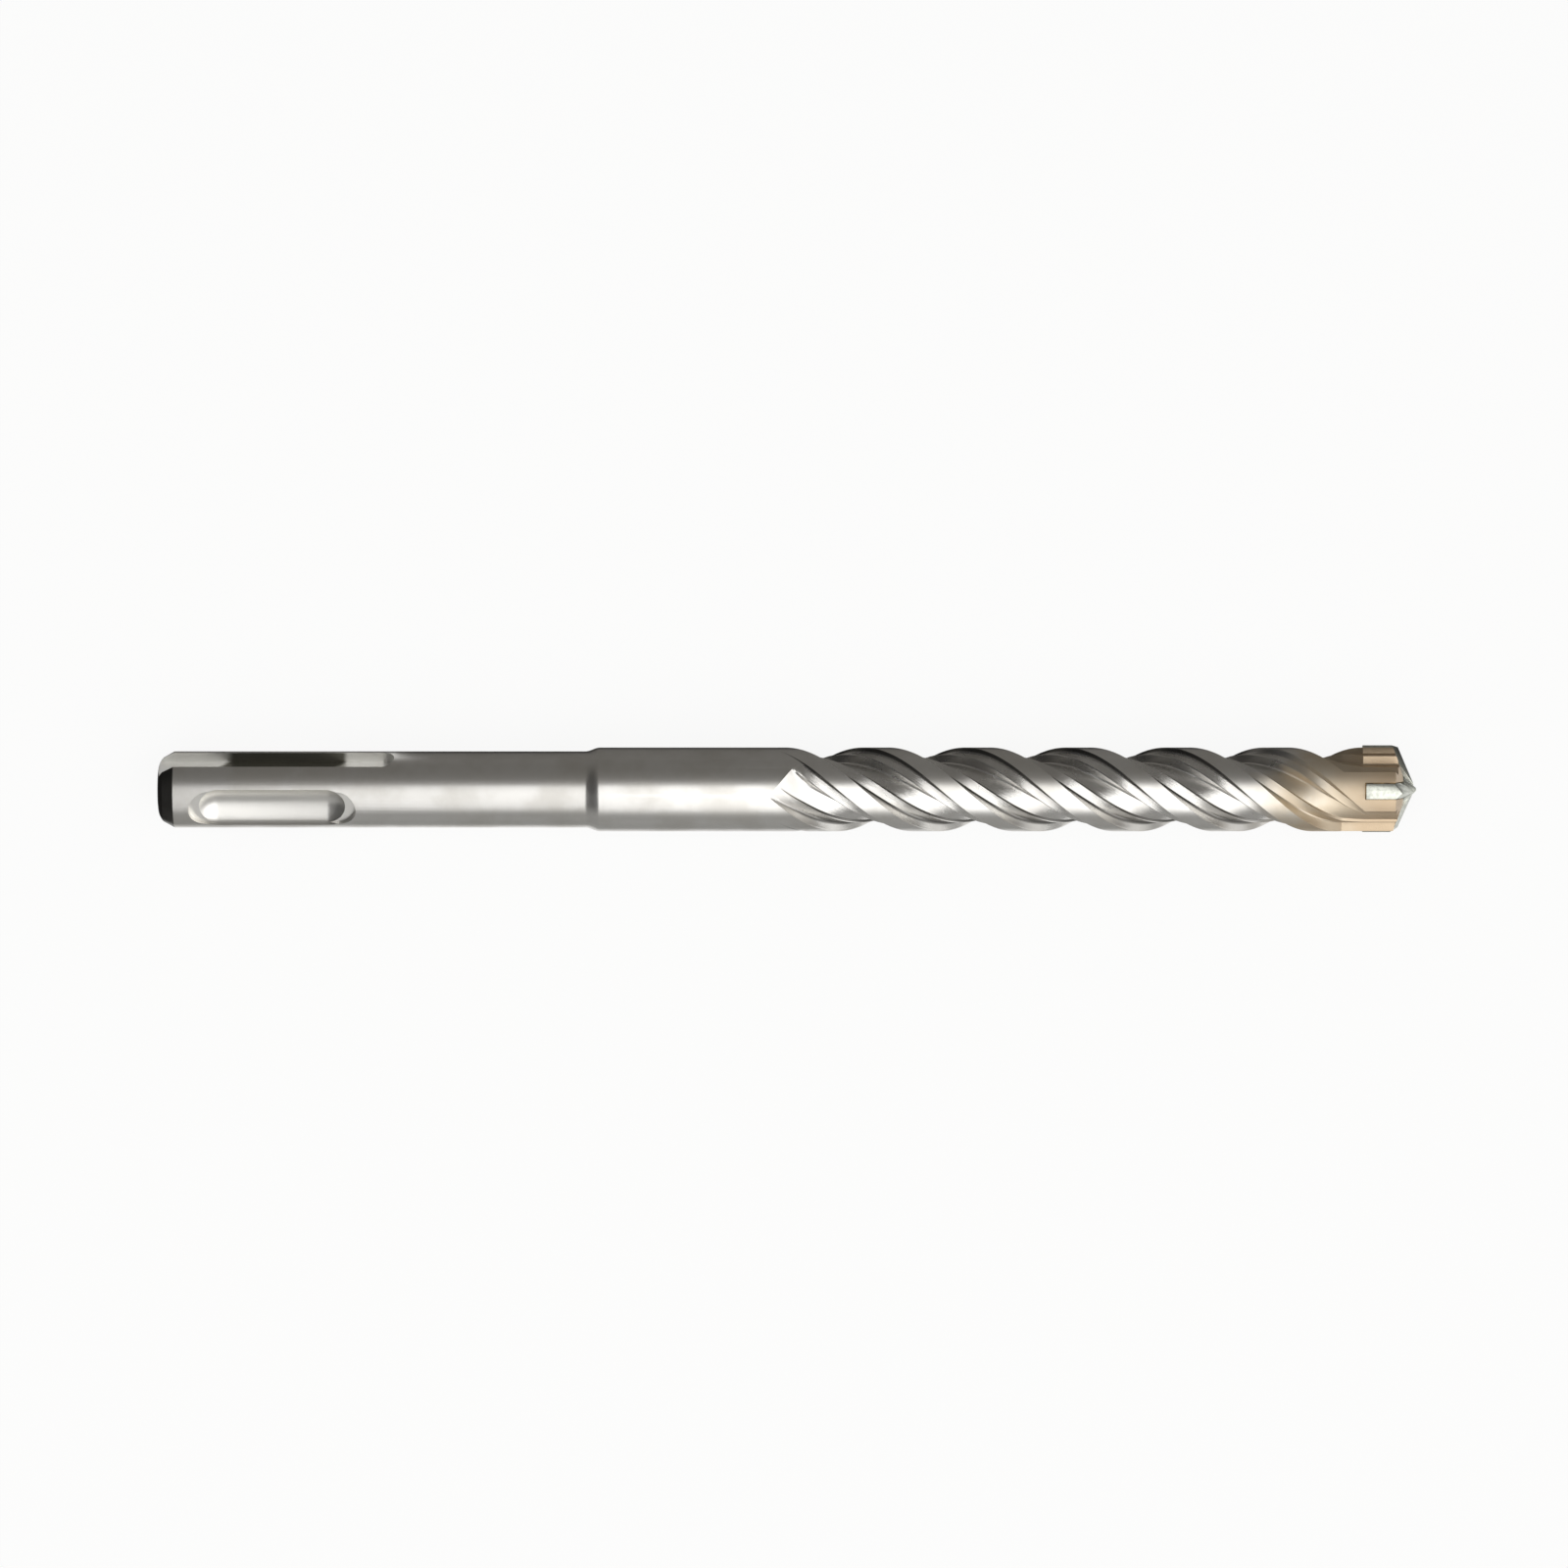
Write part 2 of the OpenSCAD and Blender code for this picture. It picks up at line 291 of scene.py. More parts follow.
for side in (0, 180):
    end_x = SLOT_L - SLOT_W / 2
    channel = bmesh.new()
    block(channel, (-1, SLOT_FLOOR_R, -SLOT_W / 2), (end_x, 9, SLOT_W / 2))
    keep_cutter(channel, f"channel_{side}", SLOT_ANGLE + side)
    round_end = bmesh.new()
    upright = Matrix.Translation(Vector((end_x, (SLOT_FLOOR_R + 9) / 2, 0)) * MM)
    drum(round_end, SLOT_W / 2, 9 - SLOT_FLOOR_R, upright @ Matrix.Rotation(math.pi / 2, 4, "X"))
    keep_cutter(round_end, f"round_end_{side}", SLOT_ANGLE + side)

# %% Cutters for the closed grooves
GROOVE_START, GROOVE_L = 4.1, 21.9
LEDGE_R, LEDGE_L, LEDGE_INSET = 3.9, 1.4, 0.03
TROUGH_R = 3.5
TROUGH_Y = 2.8 + TROUGH_R
TROUGH_HALF_W = math.sqrt(TROUGH_R ** 2 - (TROUGH_Y - LEDGE_R) ** 2)
LEDGE_HALF_W = TROUGH_HALF_W - LEDGE_INSET


def pulled_apart(work, first_x, last_x):
    """Move the rear half of a round shape to first_x and its front half to last_x."""
    for vert in work.verts:
        vert.co.x += (last_x if vert.co.x > 0 else first_x) * MM


def ledge_cutter():
    """A disc pulled apart along the groove and raised out of the steel."""
    work = bmesh.new()
    flat = Matrix.Translation((0, LEDGE_R * MM, 0)) @ Matrix.Rotation(math.pi / 2, 4, "X")
    bmesh.ops.create_circle(work, cap_ends=True, segments=94, radius=LEDGE_HALF_W * MM,
                            matrix=flat)
    pulled_apart(work, GROOVE_START + LEDGE_HALF_W, GROOVE_START + GROOVE_L - LEDGE_HALF_W)
    raised = bmesh.ops.extrude_face_region(work, geom=list(work.faces))["geom"]
    top = [vert for vert in raised if isinstance(vert, bmesh.types.BMVert)]
    bmesh.ops.translate(work, verts=top, vec=(0, SHANK_R * MM, 0))
    return work


def trough_cutter():
    """A ball pulled apart along the groove."""
    work = bmesh.new()
    bmesh.ops.create_uvsphere(work, u_segments=96, v_segments=49, radius=TROUGH_R * MM,
                              matrix=Matrix.Rotation(math.pi / 2, 4, "Y"))
    ledge_end = LEDGE_L + TROUGH_HALF_W
    pulled_apart(work, GROOVE_START + ledge_end, GROOVE_START + GROOVE_L - ledge_end)
    bmesh.ops.translate(work, verts=work.verts, vec=(0, TROUGH_Y * MM, 0))
    return work


for side in (0, 180):
    keep_cutter(ledge_cutter(), f"ledge_{side}", SLOT_ANGLE + 90 + side)
    keep_cutter(trough_cutter(), f"trough_{side}", SLOT_ANGLE + 90 + side)

# %% Cutters for the insert's slot
WING_T, HUB_R, BRAZE_T = 2.0, 1.6, 0.12
SEAT_X = OVERALL - 6.9
lobe_cheek = twist_at(HELIX_END) - twist_at(HEEL_X)
WING_ANGLE = HEEL_ANGLE + twist_at(HEEL_X) + (LAND_W - lobe_cheek) / 2 - 1.0 + lobe_cheek

for k in range(FLUTES):
    saw = bmesh.new()
    half = WING_T / 2 + BRAZE_T
    block(saw, (SEAT_X - BRAZE_T, 0, -half), (OVERALL, 7, half))
    keep_cutter(saw, f"wing_slot_{k}", WING_ANGLE + k * 360 / FLUTES)
hub_hole = bmesh.new()
hub_depth = OVERALL - SEAT_X + BRAZE_T
along = Matrix.Translation(Vector((OVERALL - hub_depth / 2, 0, 0)) * MM)
drum(hub_hole, HUB_R + BRAZE_T, hub_depth, along @ Matrix.Rotation(math.pi / 2, 4, "Y"))
keep_cutter(hub_hole, "hub_hole", 0)


# %% Cut the bar
def settle(work_object):
    """Apply an object's modifiers and keep the result as its mesh."""
    seen = work_object.evaluated_get(bpy.context.evaluated_depsgraph_get())
    mesh = bpy.data.meshes.new_from_object(seen)
    work_object.modifiers.clear()
    work_object.data = mesh
    return mesh


bar_mesh = bpy.data.meshes.new("bit_steel")
bar.to_mesh(bar_mesh)
bar.free()
bit_steel = bpy.data.objects.new("bit_steel", bar_mesh)
bpy.context.scene.collection.objects.link(bit_steel)
cut = bit_steel.modifiers.new("cut", "BOOLEAN")
cut.operation = "DIFFERENCE"
cut.operand_type = "COLLECTION"
cut.collection = cutter_box
cut.solver = "EXACT"
bpy.context.view_layer.update()
bar_mesh = settle(bit_steel)
for used in list(cutter_box.objects):
    bpy.data.objects.remove(used)
bpy.data.collections.remove(cutter_box)
bar_mesh.shade_smooth()
bar_mesh.set_sharp_from_angle(angle=math.radians(20))
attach(bit_steel, "root")
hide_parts("steel_body")
print("steel faces:", len(bar_mesh.polygons))

# %% [markdown]
# ## The carbide insert
# Sintered carbide is pressed and ground, so its faces are flat and its edges crisp, but
# never perfectly sharp. The measured solid has the right faces. A copy of it is merged,
# its flat faces are joined, and its edges get a very small bevel that catches the light.

# %% Bevelled copy of the insert
def bevelled_copy(node, name, width, segments):
    """A copy of a solid with joined flat faces and small bevels."""
    work = bmesh.new()
    work.from_mesh(frame["nodes"][node].data)
    bmesh.ops.remove_doubles(work, verts=work.verts, dist=1e-6)
    bmesh.ops.dissolve_limit(work, angle_limit=math.radians(1), verts=work.verts,
                             edges=work.edges)
    crisp = [edge for edge in work.edges
             if edge.is_manifold and edge.calc_face_angle() > math.radians(20)]
    bmesh.ops.bevel(work, geom=crisp, offset=width * MM, offset_type="OFFSET",
                    affect="EDGES", segments=segments, profile=0.5, material=-1,
                    clamp_overlap=True)
    mesh = bpy.data.meshes.new(name)
    work.to_mesh(mesh)
    work.free()
    mesh.shade_smooth()
    mesh.set_sharp_from_angle(angle=math.radians(35))
    piece = bpy.data.objects.new(name, mesh)
    bpy.context.scene.collection.objects.link(piece)
    return piece


insert_carbide = bevelled_copy("carbide_insert", "insert_carbide", 0.05, 2)
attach(insert_carbide, "root")
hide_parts("carbide_insert")
print("insert faces:", len(insert_carbide.data.polygons))


# %% [markdown]
# ## Shared effects
# Ground and milled metal shows fine lines along the cut, and its colour and gloss vary
# a little from handling. Both effects serve every metal here, so each is a node group
# with its own inputs and outputs.

# %% Node groups for fine lines and for smudges
def new_group(name, inputs, outputs):
    """An empty shader group with float or vector inputs and float outputs."""
    group = bpy.data.node_groups.new(name, "ShaderNodeTree")
    for label, kind in inputs:
        group.interface.new_socket(label, in_out="INPUT", socket_type=kind)
    for label in outputs:
        group.interface.new_socket(label, in_out="OUTPUT", socket_type="NodeSocketFloat")
    entry = group.nodes.new("NodeGroupInput")
    leave = group.nodes.new("NodeGroupOutput")
    return group, entry, leave


def noise(tree, detail, roughness):
    """A noise texture with fixed detail and roughness."""
    node = tree.nodes.new("ShaderNodeTexNoise")
    node.inputs["Detail"].default_value = detail
    node.inputs["Roughness"].default_value = roughness
    return node


def fine_lines_group():
    """Height of fine lines: noise drawn out by the vector's own scale."""
    group, entry, leave = new_group(
        "fine_lines", [("Vector", "NodeSocketVector"), ("Scale", "NodeSocketFloat")], ["Height"])
    grain = noise(group, 5, 0.6)
    group.links.new(entry.outputs["Vector"], grain.inputs["Vector"])
    group.links.new(entry.outputs["Scale"], grain.inputs["Scale"])
    group.links.new(grain.outputs["Fac"], leave.inputs["Height"])
    return group


def smudges_group():
    """A mask of soft blotches, from 0 to 1."""
    group, entry, leave = new_group(
        "smudges", [("Vector", "NodeSocketVector"), ("Scale", "NodeSocketFloat")], ["Mask"])
    blotch = noise(group, 4, 0.55)
    spread = group.nodes.new("ShaderNodeMapRange")
    spread.interpolation_type = "SMOOTHSTEP"
    spread.inputs["From Min"].default_value = 0.35
    spread.inputs["From Max"].default_value = 0.68
    group.links.new(entry.outputs["Vector"], blotch.inputs["Vector"])
    group.links.new(entry.outputs["Scale"], blotch.inputs["Scale"])
    group.links.new(blotch.outputs["Fac"], spread.inputs["Value"])
    group.links.new(spread.outputs["Result"], leave.inputs["Mask"])
    return group


FINE_LINES = fine_lines_group()
SMUDGES = smudges_group()
print("groups:", FINE_LINES.name, SMUDGES.name)


# %% Small helpers for a material's own nodes
class Finish:
    """One material, with short calls for the nodes that it needs."""

    def __init__(self, name):
        self.material = bpy.data.materials.new(name)
        self.material.use_nodes = True
        self.tree = self.material.node_tree
        self.shader = self.tree.nodes["Principled BSDF"]
        place = self.tree.nodes.new("ShaderNodeTexCoord")
        self.place = place.outputs["Object"]

    def feed(self, socket, value):
        """Link a value, or set it where it is a plain number or colour."""
        if isinstance(value, bpy.types.NodeSocket):
            self.tree.links.new(value, socket)
        else:
            socket.default_value = value

    def math(self, operation, *values):
        node = self.tree.nodes.new("ShaderNodeMath")
        node.operation = operation
        for socket, value in zip(node.inputs, values):
            self.feed(socket, value)
        return node.outputs[0]

    def stretched(self, scale):
        """Object coordinates, scaled by a vector."""
        node = self.tree.nodes.new("ShaderNodeMapping")
        node.inputs["Scale"].default_value = scale
        self.feed(node.inputs["Vector"], self.place)
        return node.outputs["Vector"]

    def effect(self, group, vector, scale):
        """A shared group, placed with its own vector and scale."""
        node = self.tree.nodes.new("ShaderNodeGroup")
        node.node_tree = group
        self.feed(node.inputs["Vector"], vector)
        node.inputs["Scale"].default_value = scale
        return node.outputs[0]

    def between(self, value, low, high, start=0.0, end=1.0):
        """A smooth step of a value, from start at low to end at high."""
        node = self.tree.nodes.new("ShaderNodeMapRange")
        node.interpolation_type = "SMOOTHSTEP"
        self.feed(node.inputs["Value"], value)
        for label, number in (("From Min", low), ("From Max", high),
                              ("To Min", start), ("To Max", end)):
            node.inputs[label].default_value = number
        return node.outputs["Result"]

    def blend(self, factor, first, second, way="MIX"):
        """A mix of two colours."""
        node = self.tree.nodes.new("ShaderNodeMix")
        node.data_type = "RGBA"
        node.blend_type = way
        self.feed(node.inputs["Factor"], factor)
        self.feed(node.inputs["A"], first)
        self.feed(node.inputs["B"], second)
        return node.outputs["Result"]

    def bump(self, height, distance, strength, under=None):
        """A bump from a height, laid over another normal if one is given."""
        node = self.tree.nodes.new("ShaderNodeBump")
        node.inputs["Strength"].default_value = strength
        node.inputs["Distance"].default_value = distance
        self.feed(node.inputs["Height"], height)
        if under is not None:
            self.feed(node.inputs["Normal"], under)
        return node.outputs["Normal"]


def rgb(red, green, blue):
    """A colour given in the usual 0 to 255 steps, as the linear value of a socket."""
    steps = []
    for step in (red, green, blue):
        s = step / 255
        steps.append(s / 12.92 if s <= 0.04045 else ((s + 0.055) / 1.055) ** 2.4)
    return (*steps, 1.0)


# %% [markdown]
# ## The steel's finish
# The shank and body are ground, which leaves very fine lines round the axis. The flutes
# are milled and a little brighter, with lines along the helix. The head was heated for
# brazing, which left a golden brown that fades out behind it. The position along the
# bit drives the colour, and noise breaks up its edge. The flutes' own direction comes
# from the angle about the axis less the turn of the helix.

# %% The drive slots, their painted highlight and their painted dark reflection
def slot_masks(steel, split, x, radius, blotch):
    """Two masks for the drive slots: all of their metal, painted as a highlight, and the stretch
    painted as a dark reflection.
    """
    lean = math.radians(SLOT_ANGLE)
    across = steel.math("MULTIPLY", steel.math(
        "SUBTRACT", steel.math("MULTIPLY", split.outputs["Z"], math.cos(lean)),
        steel.math("MULTIPLY", split.outputs["Y"], math.sin(lean))), 1000.0)
    side = steel.math("ABSOLUTE", across)
    depth = steel.math("ABSOLUTE", steel.math(
        "ADD", steel.math("MULTIPLY", split.outputs["Y"], math.cos(lean) * 1000.0),
        steel.math("MULTIPLY", split.outputs["Z"], math.sin(lean) * 1000.0)))
    sunk = steel.between(radius, SHANK_R - 0.03, SHANK_R - 0.09)
    sunk = steel.math("MULTIPLY", sunk, steel.between(depth, SLOT_FLOOR_R - 0.2, SLOT_FLOOR_R - 0.1))
    sunk = steel.math("MULTIPLY", sunk, steel.between(x, SLOT_L + 0.5, SLOT_L))
    floor = steel.math("MULTIPLY", sunk, steel.between(side, SLOT_W / 2 + 0.1, SLOT_W / 2 + 0.02))
    # The stretch of painted dark reflection runs along the middle of the slot, with slanted ends.
    slanted_x = steel.math("ADD", x, steel.math("MULTIPLY", across, 0.9))
    slanted_x = steel.math("ADD", slanted_x, steel.math("MULTIPLY", blotch, 0.5))
    stretch = steel.math("MULTIPLY", steel.between(slanted_x, 7.4, 8.6),
                         steel.between(slanted_x, 23.7, 22.7))
    slot_painted_reflection = steel.math("MULTIPLY", floor, stretch)
    return floor, slot_painted_reflection


# %% [markdown]
# Shade is painted into the sharp corners of the flutes, as dark lines along
# them. Each line follows one place on the flute's section, so it is a narrow
# mask on the angle that turns with the flute.

# %% Painted shade in the corners of the flutes
def corner_painted_shade(steel, along_flute, x):
    """Where the three corners of each flute's section are, from 0 to 1, for the painted shade."""
    third = math.radians(120.0)
    place = steel.math("SUBTRACT", math.radians(HEEL_ANGLE), along_flute)
    place = steel.math("FLOORED_MODULO", place, third)
    place = steel.math("DIVIDE", place, third - math.radians(LAND_W))
    lines = 0.0
    for corner, half in ((0.05, 0.028), (0.3, 0.02), (0.985, 0.022)):
        off = steel.math("ABSOLUTE", steel.math("SUBTRACT", place, corner))
        lines = steel.math("MAXIMUM", steel.between(off, half, half * 0.4), lines)
    lines = steel.math("MULTIPLY", lines, steel.between(x, 81.0, 85.0))
    return steel.math("MULTIPLY", lines, steel.between(x, 148.0, 140.0))


# %% Material of the steel body
def steel_finish():
    steel = Finish("ground_and_tinted_steel")
    split = steel.tree.nodes.new("ShaderNodeSeparateXYZ")
    steel.feed(split.inputs[0], steel.place)
    x = steel.math("MULTIPLY", split.outputs["X"], 1000.0)
    around = steel.math("ARCTAN2", split.outputs["Z"], split.outputs["Y"])
    across = steel.math("SQRT", steel.math(
        "ADD", steel.math("MULTIPLY", split.outputs["Y"], split.outputs["Y"]),
        steel.math("MULTIPLY", split.outputs["Z"], split.outputs["Z"])))
    radius = steel.math("MULTIPLY", across, 1000.0)

    first, last = math.radians(360 / LEAD_START), math.radians(360 / LEAD_END)
    u = steel.math("SUBTRACT", x, FLUTE_START)
    curve = (last - first) / (2 * (HELIX_END - FLUTE_START))
    turn = steel.math("ADD", steel.math("MULTIPLY", u, first),
                      steel.math("MULTIPLY", steel.math("MULTIPLY", u, u), curve))
    along_flute = steel.math("SUBTRACT", around, turn)
    helix_vector = steel.tree.nodes.new("ShaderNodeCombineXYZ")
    steel.feed(helix_vector.inputs["X"], steel.math("SINE", along_flute))
    steel.feed(helix_vector.inputs["Y"], steel.math("COSINE", along_flute))
    steel.feed(helix_vector.inputs["Z"], steel.math("MULTIPLY", x, 0.004))

    past_start = steel.between(x, 79.6, 80.6)
    in_groove = steel.between(radius, 5.44, 5.3)
    milled = steel.math("MULTIPLY", past_start, in_groove)

    ground = steel.effect(FINE_LINES, steel.stretched((1.0, 0.02, 0.02)), 9000.0)
    cut = steel.effect(FINE_LINES, helix_vector.outputs[0], 60.0)
    blotch = steel.effect(SMUDGES, steel.place, 160.0)
    wide_blotch = steel.effect(SMUDGES, steel.stretched((1.0, 1.4, 1.4)), 90.0)

    plain = steel.blend(blotch, rgb(224, 222, 218), rgb(210, 207, 201))
    bright = steel.blend(blotch, rgb(222, 220, 216), rgb(205, 202, 197))
    base = steel.blend(milled, plain, bright)
    patchy_x = steel.math("ADD", x, steel.math("MULTIPLY", wide_blotch, 6.0))
    straw = steel.between(patchy_x, 147.0, 155.0)
    base = steel.blend(straw, base, rgb(206, 193, 172))
    bronze = steel.between(patchy_x, 152.0, 162.0)
    base = steel.blend(bronze, base, rgb(192, 172, 146))
    crown_end = turned_rings()[9][0]
    # The crown at the rear end is painted dark, as a painted dark reflection.
    crown_painted_reflection = steel.between(x, crown_end + 0.05, crown_end - 0.05)
    base = steel.blend(crown_painted_reflection, base, rgb(120, 118, 114))
    # The troughs of the closed grooves are painted lighter than the steel: a painted highlight.
    trough = steel.math("MULTIPLY", steel.between(radius, 4.5, 4.2), steel.between(x, 28.0, 27.0))
    trough = steel.math("MULTIPLY", trough, steel.between(x, 2.5, 3.0))
    base = steel.blend(trough, base, rgb(238, 236, 231))
    slot_floor_painted_bright, slot_painted_reflection = slot_masks(steel, split, x, radius, blotch)
    # The drive slots' metal is painted brighter than the steel: a painted highlight.
    base = steel.blend(slot_floor_painted_bright, base, rgb(250, 249, 245))
    # A stretch in the middle of each slot is painted dark: a painted dark reflection.
    base = steel.blend(slot_painted_reflection, base, rgb(128, 126, 118))
    # Painted shade: dark lines along the corners of the flutes.
    lines = corner_painted_shade(steel, along_flute, x)
    base = steel.blend(steel.math("MULTIPLY", lines, 0.8), base, rgb(52, 50, 46))
    steel.feed(steel.shader.inputs["Base Color"], base)
    steel.shader.inputs["Metallic"].default_value = 1.0

    gloss = steel.math("MULTIPLY_ADD", blotch, 0.05, 0.30)
    gloss = steel.math("SUBTRACT", gloss, steel.math("MULTIPLY", milled, 0.05))
    gloss = steel.math("MULTIPLY_ADD", straw, 0.20, gloss)
    gloss = steel.math("MULTIPLY_ADD", slot_floor_painted_bright, 0.12, gloss)
    steel.feed(steel.shader.inputs["Roughness"], gloss)
    grain = steel.bump(ground, 0.00002, 0.25)
    height = steel.math("MULTIPLY", cut, milled)
    steel.feed(steel.shader.inputs["Normal"], steel.bump(height, 0.00006, 0.35, grain))
    return steel.material


bit_steel.data.materials.clear()
bit_steel.data.materials.append(steel_finish())
print("material:", bit_steel.data.materials[0].name)


# %% [markdown]
# ## Carbide and braze
# Carbide looks like dark steel with a slight green cast and a fine matt grain from
# sintering. The braze is a dull yellow bronze that shows as a thin line round the
# insert.

# %% Materials of the insert and the braze
def carbide_finish():
    carbide = Finish("ground_carbide")
    grain = carbide.effect(SMUDGES, carbide.place, 2400.0)
    lines = carbide.effect(FINE_LINES, carbide.stretched((0.05, 1.0, 1.0)), 6000.0)
    colour = carbide.blend(grain, rgb(206, 208, 198), rgb(188, 190, 180))
    carbide.feed(carbide.shader.inputs["Base Color"], colour)
    carbide.shader.inputs["Metallic"].default_value = 1.0
    carbide.feed(carbide.shader.inputs["Roughness"],
                 carbide.math("MULTIPLY_ADD", grain, 0.08, 0.30))
    carbide.feed(carbide.shader.inputs["Normal"], carbide.bump(lines, 0.00002, 0.3))
    return carbide.material


def braze_finish():
    braze = Finish("dull_braze")
    flow = braze.effect(SMUDGES, braze.place, 900.0)
    colour = braze.blend(flow, rgb(128, 104, 70), rgb(84, 66, 46))
    braze.feed(braze.shader.inputs["Base Color"], colour)
    braze.shader.inputs["Metallic"].default_value = 1.0
    braze.feed(braze.shader.inputs["Roughness"], braze.math("MULTIPLY_ADD", flow, 0.2, 0.4))
    braze.feed(braze.shader.inputs["Normal"], braze.bump(flow, 0.0001, 0.4))
    return braze.material


insert_carbide.data.materials.clear()
insert_carbide.data.materials.append(carbide_finish())
braze_node = frame["nodes"]["braze_filler"]
braze_material = braze_finish()
if not braze_node.material_slots:
    braze_node.data.materials.append(braze_material)
for material_slot in braze_node.material_slots:
    material_slot.material = braze_material
print("materials:", [m.name for m in bpy.data.materials])


# %% [markdown]
# ## Floor and light
# The photograph shows the bit from straight above on white, with a bright band along
# its middle, a dark upper side and a grey lower side. Metal only shows what it mirrors,
# so the light is planned as a product photographer would: one wide soft lamp over the
# lower side, and cards beside the bit that only its mirror image sees. The floor is
# white to the eye and in the metal, and keeps part of its own shading, so that the
# bit's soft shadow stays.

# %% White floor and world
FLOOR_Z = -BODY_R * MM


def seen_directly(tree):
    """1 where a camera, glossy or transmission ray looks, else 0."""
    path = tree.nodes.new("ShaderNodeLightPath")
    first = tree.nodes.new("ShaderNodeMath")
    first.operation = "MAXIMUM"
    tree.links.new(path.outputs["Is Camera Ray"], first.inputs[0])
    tree.links.new(path.outputs["Is Glossy Ray"], first.inputs[1])
    second = tree.nodes.new("ShaderNodeMath")
    second.operation = "MAXIMUM"
    tree.links.new(first.outputs[0], second.inputs[0])
    tree.links.new(path.outputs["Is Transmission Ray"], second.inputs[1])
    return second.outputs[0]


def white_floor():
    paper = bpy.data.materials.new("white_floor")
    paper.use_nodes = True
    tree = paper.node_tree
    shader = tree.nodes["Principled BSDF"]
    shader.inputs["Base Color"].default_value = (0.9, 0.9, 0.895, 1)
    shader.inputs["Roughness"].default_value = 0.9
    glow = tree.nodes.new("ShaderNodeEmission")
    glow.inputs["Color"].default_value = (1, 1, 0.996, 1)
    glow.inputs["Strength"].default_value = 1.0
    share = tree.nodes.new("ShaderNodeMath")
    share.operation = "MULTIPLY"
    share.inputs[1].default_value = 0.9
    tree.links.new(seen_directly(tree), share.inputs[0])
    mix = tree.nodes.new("ShaderNodeMixShader")
    tree.links.new(share.outputs[0], mix.inputs[0])
    tree.links.new(shader.outputs[0], mix.inputs[1])
    tree.links.new(glow.outputs[0], mix.inputs[2])
    tree.links.new(mix.outputs[0], tree.nodes["Material Output"].inputs["Surface"])
    return paper


def stage_piece(name, work, material):
    """Finish a mesh in work as a stage object."""
    mesh = bpy.data.meshes.new(name)
    work.to_mesh(mesh)
    work.free()
    mesh.materials.append(material)
    piece = bpy.data.objects.new(name, mesh)
    bpy.context.scene.collection.objects.link(piece)
    return piece


ground_plane = bmesh.new()
bmesh.ops.create_grid(ground_plane, x_segments=1, y_segments=1, size=6)
bmesh.ops.translate(ground_plane, verts=ground_plane.verts, vec=(0.08, 0, FLOOR_Z))
floor = stage_piece("floor", ground_plane, white_floor())

world = bpy.data.worlds.new("studio")
bpy.context.scene.world = world
world.use_nodes = True
world_tree = world.node_tree
room = world_tree.nodes["Background"]
room.inputs["Color"].default_value = (0.36, 0.36, 0.36, 1)
white = world_tree.nodes.new("ShaderNodeBackground")
white.inputs["Color"].default_value = (1, 1, 0.996, 1)
choose = world_tree.nodes.new("ShaderNodeMixShader")
world_tree.links.new(seen_directly(world_tree), choose.inputs[0])
world_tree.links.new(room.outputs[0], choose.inputs[1])
world_tree.links.new(white.outputs[0], choose.inputs[2])
world_tree.links.new(choose.outputs[0], world_tree.nodes["World Output"].inputs["Surface"])
print("floor at", FLOOR_Z)


# %% Cards that only the metal's mirror image sees
def card_material(name, grey):
    card = bpy.data.materials.new(name)
    card.use_nodes = True
    shader = card.node_tree.nodes["Principled BSDF"]
    shader.inputs["Base Color"].default_value = (0, 0, 0, 1)
    shader.inputs["Emission Color"].default_value = (*grey, 1)
    shader.inputs["Emission Strength"].default_value = 1.0
    return card


def hidden_card(name, outline, turn, grey, start_x=-680.0):
    """A long card along X from an outline in mm, turned about the upright axis."""
    work = bmesh.new()
    verts = [work.verts.new(Vector((start_x, y, z)) * MM) for y, z in outline]
    edges = [work.edges.new(pair) for pair in zip(verts, verts[1:])]
    made = bmesh.ops.extrude_edge_only(work, edges=edges)["geom"]
    moved = [v for v in made if isinstance(v, bmesh.types.BMVert)]
    bmesh.ops.translate(work, verts=moved, vec=((CARD_END_X - start_x) * MM, 0, 0))
    place = Matrix.Translation((OVERALL / 2 * MM, 0, 0))
    bmesh.ops.transform(work, matrix=place @ Matrix.Rotation(math.radians(turn), 4, "Z"),
                        verts=work.verts)
    card = stage_piece(name, work, card_material(name, grey))
    card.visible_camera = False
    card.visible_diffuse = False
    card.visible_shadow = False
    return card


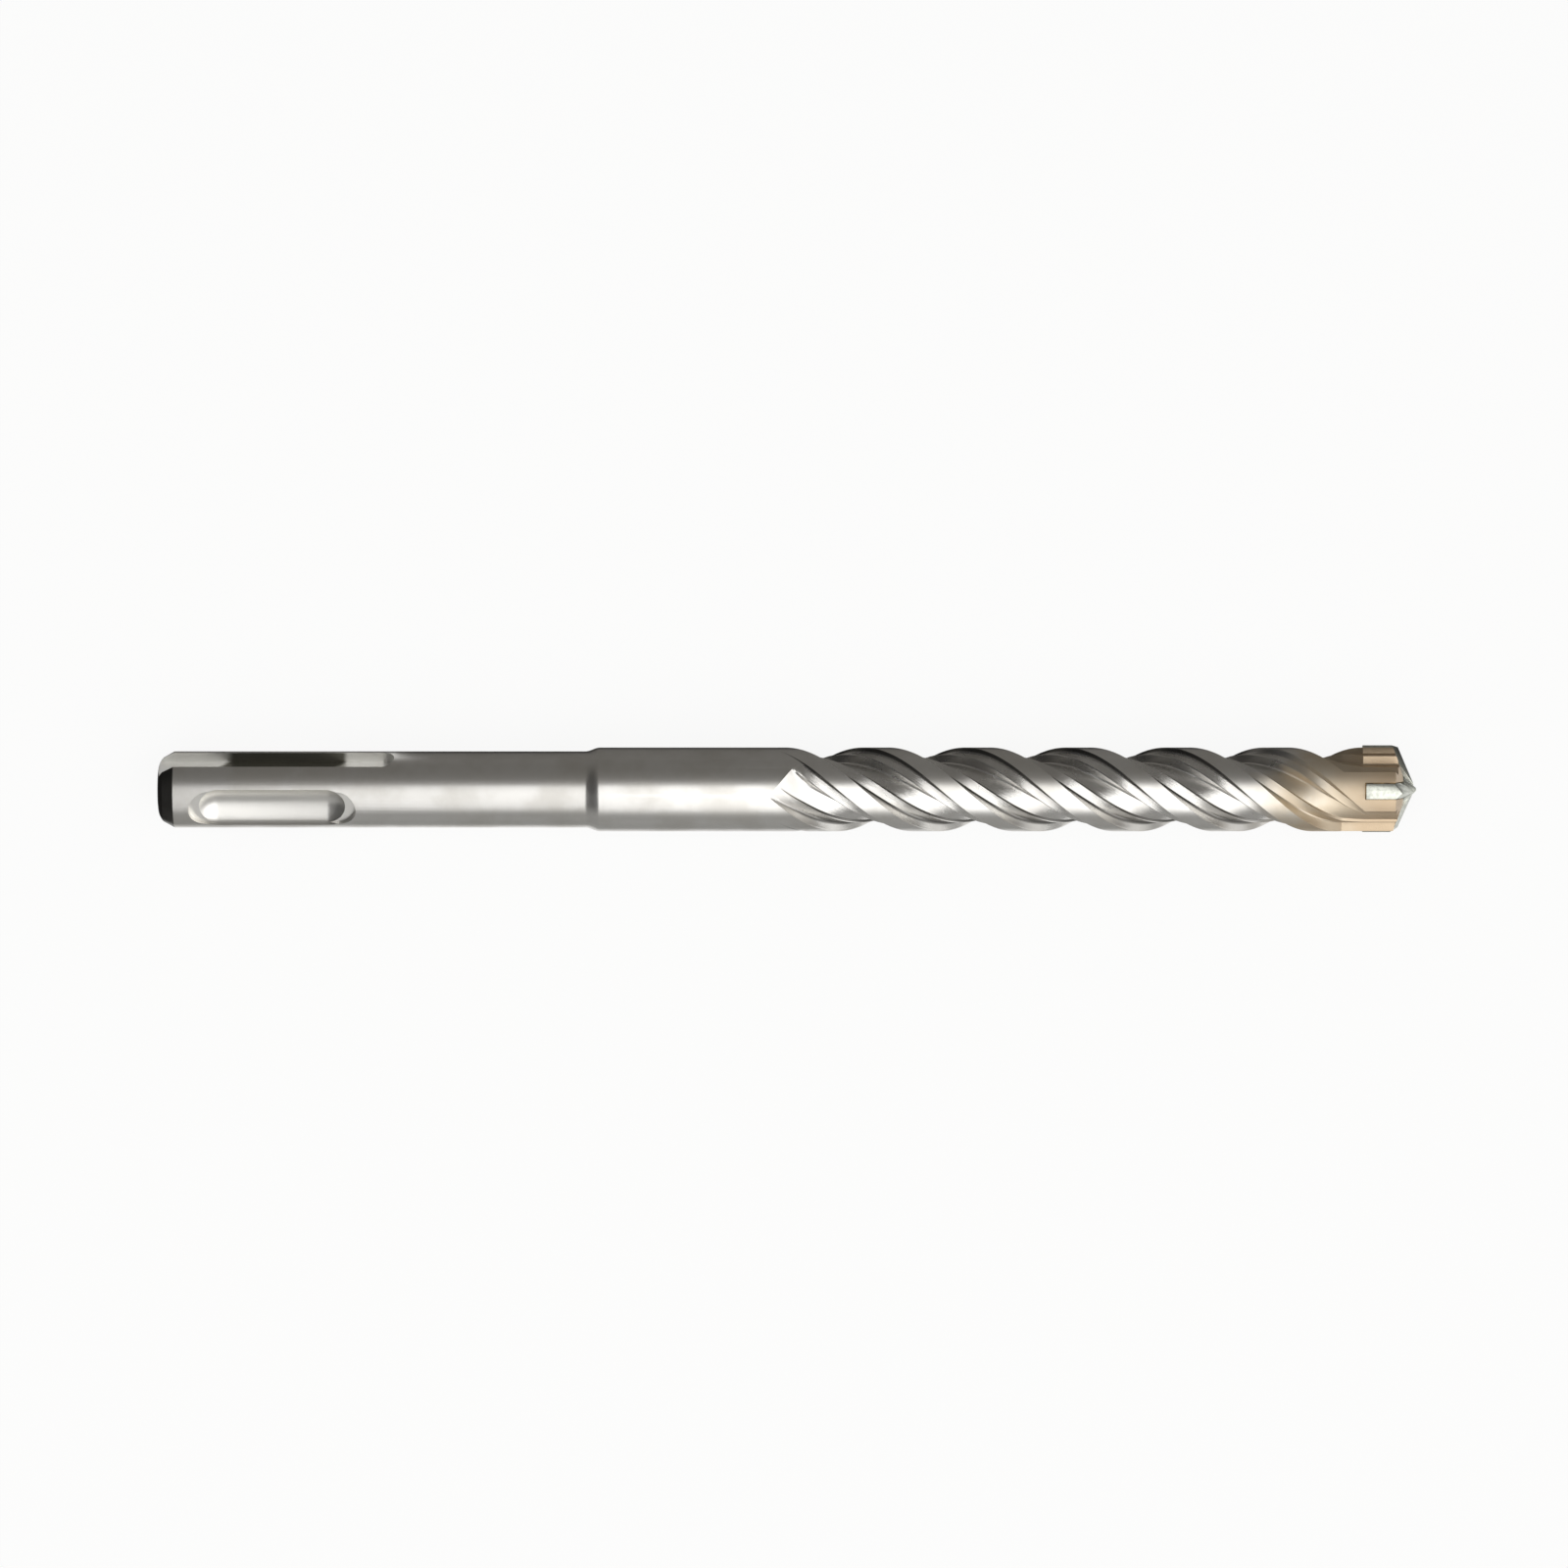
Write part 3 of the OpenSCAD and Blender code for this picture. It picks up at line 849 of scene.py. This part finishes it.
def arc_to_floor(start, near):
    """An outline that falls from start, in degrees from straight up, and runs in to near."""
    tilts = [math.radians(start + (90.5 - start) * i / 12) for i in range(13)]
    arc = [(CARD_REACH * math.sin(t), CARD_REACH * math.cos(t)) for t in tilts]
    return arc + [(near, FLOOR_Z / MM + 0.2)]


CARD_REACH, CARD_END_X = 400.0, 680.0
past_slot = SLOT_L - OVERALL / 2
strip_z = FLOOR_Z / MM + 0.3
hidden_card("upper_card", arc_to_floor(12, 36), 0, (0.155, 0.15, 0.142))
hidden_card("run_in_card", [(36, strip_z), (10, strip_z)], 0, (0.155, 0.15, 0.142), past_slot)
# The contact card is a painted shadow: a near-black strip on the floor beside the bit that only the
# metal's reflections see.
hidden_card("contact_shadow_card", [(10, strip_z), (5.7, strip_z)], 0, (0.012, 0.012, 0.012))
hidden_card("lower_card", arc_to_floor(66, 10), 180, (0.28, 0.28, 0.275))
hidden_card("rear_card", arc_to_floor(13, 84), 90, (0.02, 0.02, 0.02))


# %% Soft lamp and camera
def soft_lamp(name, tilt, distance, width, length, power):
    """A wide area lamp over the bit, tilted from straight up towards +Y."""
    lamp = bpy.data.lights.new(name, "AREA")
    lamp.shape = "RECTANGLE"
    lamp.size = length
    lamp.size_y = width
    lamp.energy = power
    holder = bpy.data.objects.new(name, lamp)
    bpy.context.scene.collection.objects.link(holder)
    lean = math.radians(tilt)
    place = Vector((0.0825, math.sin(lean) * distance, math.cos(lean) * distance))
    holder.matrix_world = Matrix.Translation(place) @ Matrix.Rotation(-lean, 4, "X")
    holder.visible_camera = False
    return holder


key_lamp = soft_lamp("key_lamp", -24, 0.7, 1.0, 2.2, 6.5)

FRAME_WIDTH = 0.2058
VIEW_CENTRE = (0.08205, 0.00071)
lens = bpy.data.cameras.new("camera")
lens.lens = 200
lens.sensor_width = 36
lens.clip_end = 50
camera = bpy.data.objects.new("camera", lens)
camera.location = (*VIEW_CENTRE, FRAME_WIDTH * lens.lens / lens.sensor_width)
bpy.context.scene.collection.objects.link(camera)
bpy.context.scene.camera = camera
bpy.context.scene.view_settings.view_transform = "Standard"
print("camera height:", round(camera.location.z, 3))

# %% Update the scene
bpy.context.view_layer.update()
